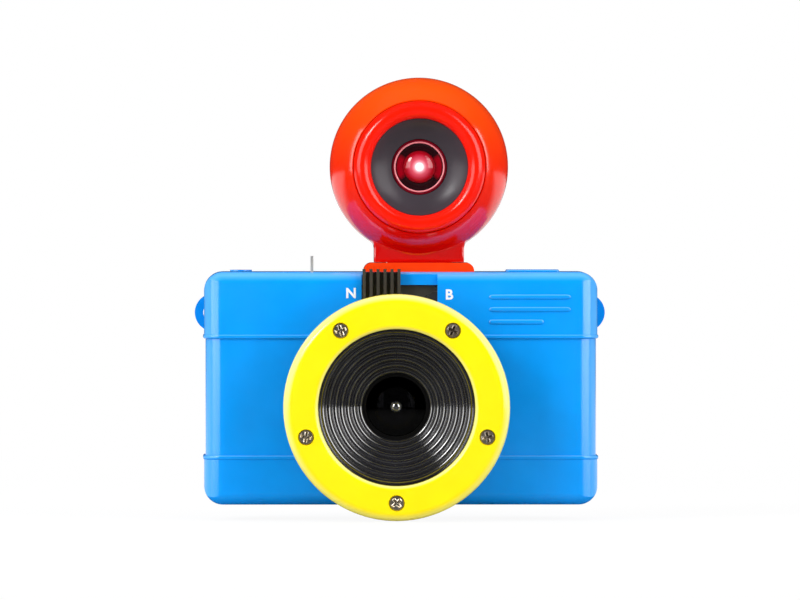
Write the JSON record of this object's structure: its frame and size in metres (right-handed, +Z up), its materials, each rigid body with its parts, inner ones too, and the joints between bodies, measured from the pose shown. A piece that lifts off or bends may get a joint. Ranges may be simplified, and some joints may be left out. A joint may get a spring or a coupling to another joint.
{
  "type": "toy film camera",
  "caption": "Small plastic film camera with a large round lens ring, a stepped lens hood, a hinged film door and a clip-on ball-shaped fisheye finder.",
  "frame": {"origin": "on the flat bottom of the casing, in its middle, where the front and rear shells meet", "axes": "+Z up, -Y towards the front with the lens, +X to the right for someone who looks at the front"},
  "size_m": [0.0826, 0.0408, 0.0884],
  "materials": {
    "blue_plastic": "satin injection-moulded blue plastic",
    "yellow_plastic": "glossy yellow plastic",
    "red_plastic": "glossy orange-red plastic",
    "black_plastic": "matt black plastic",
    "dark_disc": "satin dark grey plastic",
    "lens_glass": "coated optical plastic",
    "red_lens": "clear plastic with a red reflection",
    "clear_window": "clear plastic",
    "screw_steel": "bright nickel-plated steel",
    "spring_steel": "bare spring steel",
    "foam": "black light-seal foam"
  },
  "bodies": {
    "body": {"front_shell": "blue_plastic", "rear_shell": "blue_plastic", "left_strap_eye": "blue_plastic", "right_strap_eye": "blue_plastic", "door_hinge_pin": "screw_steel", "lens_barrel": "black_plastic", "barrel_screws": "screw_steel", "lens_ring": "yellow_plastic", "ring_screws": "screw_steel", "lens_cell": "black_plastic", "front_lens": "lens_glass", "pupil_lens": "lens_glass", "aperture_plate": "black_plastic", "rear_lens": "lens_glass", "shutter_plate": "black_plastic", "plate_screws": "screw_steel", "blade_post": "screw_steel", "blade_spring": "spring_steel", "striker_post": "screw_steel", "striker_spring": "spring_steel", "button_spring": "spring_steel", "lever_post": "screw_steel", "slider_guide": "black_plastic", "pawl_post": "screw_steel", "film_chamber": "black_plastic", "body_screws": "screw_steel", "feeler_pin": "screw_steel", "accessory_shoe": "red_plastic"},
    "film_door": {"film_door": "blue_plastic", "door_window": "clear_window", "door_seal": "foam", "cartridge_spring": "spring_steel", "latch_spring": "spring_steel"},
    "door_latch": {"door_latch": "blue_plastic"},
    "release_button": {"release_button": "blue_plastic"},
    "release_lever": {"release_lever": "black_plastic"},
    "mode_slider": {"mode_slider": "black_plastic"},
    "advance_wheel": {"advance_wheel": "black_plastic", "wheel_axle": "blue_plastic", "drive_pinion": "black_plastic"},
    "ratchet_pawl": {"ratchet_pawl": "black_plastic"},
    "shutter_blade": {"shutter_blade": "spring_steel"},
    "striker_lever": {"striker_lever": "screw_steel"},
    "film_feeler": {"film_feeler": "spring_steel"},
    "finder": {"finder_foot": "red_plastic", "finder_front_shell": "red_plastic", "finder_rear_shell": "red_plastic", "finder_screws": "screw_steel", "finder_bezel": "red_plastic", "finder_cone": "dark_disc", "finder_front_lens": "red_lens", "finder_eyepiece": "black_plastic", "finder_eye_lens": "clear_window"}
  },
  "joints": [
    {"name": "film_door_hinge", "type": "hinge", "parent": "body", "child": "film_door", "pos_m": [0.037, 0.00805, 0.0216], "axis": [0, 0, -1], "range_deg": [0, 105]},
    {"name": "door_latch_slide", "type": "slide", "parent": "film_door", "child": "door_latch", "axis": [1, 0, 0], "range_m": [0, 0.002], "stiffness_N_per_m": 100, "springref_m": -0.001, "deforming": ["latch_spring"]},
    {"name": "release_button_press", "type": "slide", "parent": "body", "child": "release_button", "axis": [0, 0, -1], "range_m": [0, 0.001], "stiffness_N_per_m": 300, "springref_m": -0.001, "deforming": ["button_spring"]},
    {"name": "release_lever_rock", "type": "hinge", "parent": "body", "child": "release_lever", "pos_m": [0.008, -0.0065, 0.0396], "axis": [0, 1, 0], "range_deg": [0, 3.7]},
    {"name": "mode_slider_slide", "type": "slide", "parent": "body", "child": "mode_slider", "axis": [1, 0, 0], "range_m": [0, 0.0072]},
    {"name": "advance_wheel_spin", "type": "hinge", "parent": "body", "child": "advance_wheel", "pos_m": [-0.032, 0.0024, 0.04], "axis": [0, 0, 1], "continuous": true},
    {"name": "ratchet_pawl_lift", "type": "hinge", "parent": "body", "child": "ratchet_pawl", "pos_m": [-0.022, -0.0025, 0.0434], "axis": [0, 0, 1], "range_deg": [0, 8], "stiffness_Nm_per_rad": 0.0005, "springref_deg": -5.73},
    {"name": "shutter_blade_swing", "type": "hinge", "parent": "body", "child": "shutter_blade", "pos_m": [-0.009, -0.01155, 0.0285], "axis": [0, 1, 0], "range_deg": [0, 30], "stiffness_Nm_per_rad": 0.0004, "springref_deg": -11.46},
    {"name": "striker_cocking", "type": "hinge", "parent": "body", "child": "striker_lever", "pos_m": [-0.0178, -0.0126, 0.024], "axis": [0, -1, 0], "range_deg": [0, 14], "stiffness_Nm_per_rad": 0.002, "springref_deg": -11.46},
    {"name": "film_feeler_swing", "type": "hinge", "parent": "body", "child": "film_feeler", "pos_m": [0.0099, 0.0002, 0.0366], "axis": [-1, 0, 0], "range_deg": [0, 12], "stiffness_Nm_per_rad": 0.0003, "springref_deg": -11.46},
    {"name": "finder_slide", "type": "slide", "parent": "body", "child": "finder", "axis": [0, 1, 0], "range_m": [0, 0.0125]}
  ],
  "couplings": [
    {"joint": "release_lever_rock", "follows": "release_button_press", "rad_per_m": 62.5}
  ]
}
